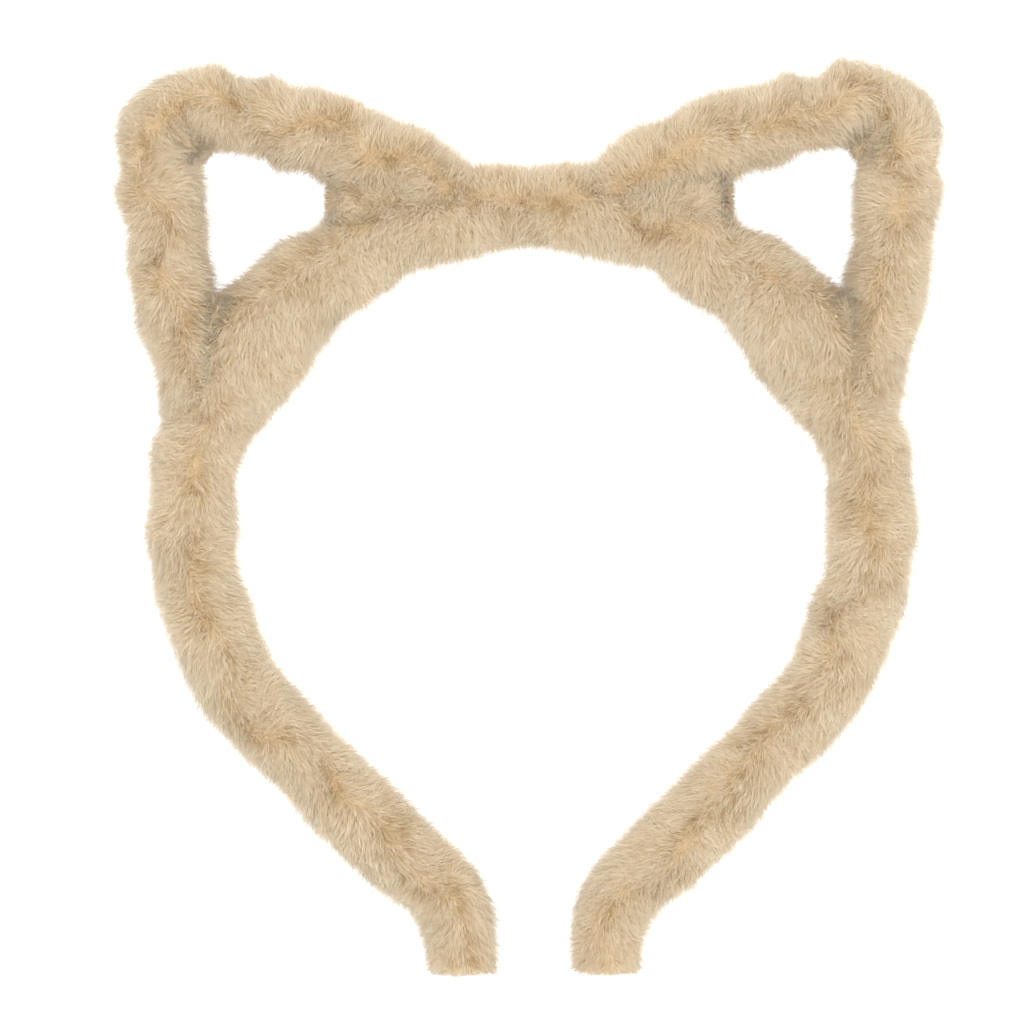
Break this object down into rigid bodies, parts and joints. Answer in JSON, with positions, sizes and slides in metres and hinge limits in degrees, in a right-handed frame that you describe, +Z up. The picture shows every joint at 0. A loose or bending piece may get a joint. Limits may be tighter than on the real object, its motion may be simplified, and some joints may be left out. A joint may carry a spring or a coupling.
{
  "type": "animal ears headband",
  "caption": "Plush headband with two hollow, bendable cat ears on a springy open hoop.",
  "frame": {"origin": "middle of the crown's inner face, where the band sits on the head", "axes": "+X to the wearer's left, +Y towards the back of the head, +Z up"},
  "size_m": [0.1824, 0.0226, 0.1969],
  "materials": {
    "plush": "matte",
    "foam": "matte",
    "hoop_plastic": "satin",
    "thread": "matte",
    "wire": "satin",
    "tape": "matte",
    "cap_rubber": "matte"
  },
  "bodies": {
    "crown": {"crown_hoop": "hoop_plastic", "crown_padding": "foam", "crown_sleeve": "plush"},
    "left_arm": {"arm_hoop_left": "hoop_plastic", "arm_padding_left": "foam", "arm_sleeve_left": "plush", "band_seams_left": "thread", "bridge_sleeve_left": "plush", "ear_wire_feet_left": "wire", "foot_bindings_left": "tape", "outer_root_sleeve_left": "plush", "root_padding_left": "foam", "root_stitches_left": "thread", "shoulder_sleeve_left": "plush", "tip_cap_left": "cap_rubber", "tip_stitches_left": "thread"},
    "right_arm": {"arm_hoop_right": "hoop_plastic", "arm_padding_right": "foam", "arm_sleeve_right": "plush", "band_seams_right": "thread", "bridge_sleeve_right": "plush", "ear_wire_feet_right": "wire", "foot_bindings_right": "tape", "outer_root_sleeve_right": "plush", "root_padding_right": "foam", "root_stitches_right": "thread", "shoulder_sleeve_right": "plush", "tip_cap_right": "cap_rubber", "tip_stitches_right": "thread"},
    "left_ear": {"ear_leg_sleeve_left": "plush", "ear_padding_left": "foam", "ear_seam_left": "thread", "ear_top_sleeve_left": "plush", "ear_wire_left": "wire"},
    "right_ear": {"ear_leg_sleeve_right": "plush", "ear_padding_right": "foam", "ear_seam_right": "thread", "ear_top_sleeve_right": "plush", "ear_wire_right": "wire"}
  },
  "joints": [
    {"name": "left_flex", "type": "hinge", "parent": "crown", "child": "left_arm", "pos_m": [-0.014, 0, 0.00688], "axis": [0, 1, 0], "range_deg": [-1.5, 20], "stiffness_Nm_per_rad": 0.8},
    {"name": "right_flex", "type": "hinge", "parent": "crown", "child": "right_arm", "pos_m": [0.014, 0, 0.00688], "axis": [0, -1, 0], "range_deg": [-1.5, 20], "stiffness_Nm_per_rad": 0.8},
    {"name": "left_ear_bend", "type": "hinge", "parent": "left_arm", "child": "left_ear", "pos_m": [-0.0561, 0, 0.00185], "axis": [0.7312, 0, 0.6821], "range_deg": [-35, 35]},
    {"name": "right_ear_bend", "type": "hinge", "parent": "right_arm", "child": "right_ear", "pos_m": [0.0561, 0, 0.00185], "axis": [0.7312, 0, -0.6821], "range_deg": [-35, 35]}
  ]
}
